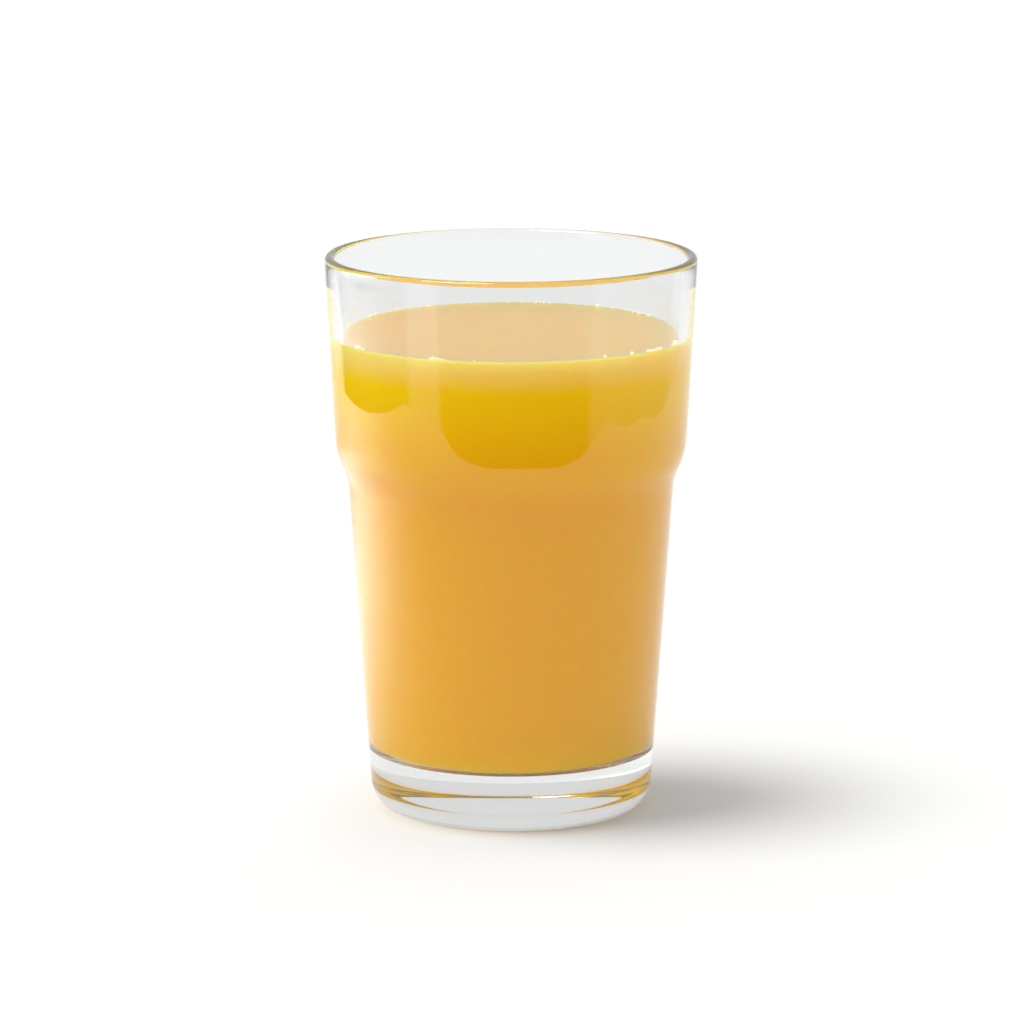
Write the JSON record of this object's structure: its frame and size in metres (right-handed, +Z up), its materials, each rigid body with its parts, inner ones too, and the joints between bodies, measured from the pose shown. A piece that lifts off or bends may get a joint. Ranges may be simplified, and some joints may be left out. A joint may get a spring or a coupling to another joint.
{
  "type": "glass of orange juice",
  "caption": "Shouldered stacking tumbler of clear glass with a thick base and thin rounded lip, filled with orange juice to just below the rim.",
  "frame": {"origin": "centre of the foot ring, on the surface that the glass stands on", "axes": "+Z up along the axis of the glass; X and Y lie in the surface and are alike"},
  "size_m": [0.0792, 0.0792, 0.12],
  "materials": {
    "clear_glass": "polished clear soda-lime glass",
    "orange_juice": "cloudy liquid with a wet, glossy surface"
  },
  "bodies": {
    "root": {"glass": "clear_glass", "juice": "orange_juice"}
  },
  "joints": []
}
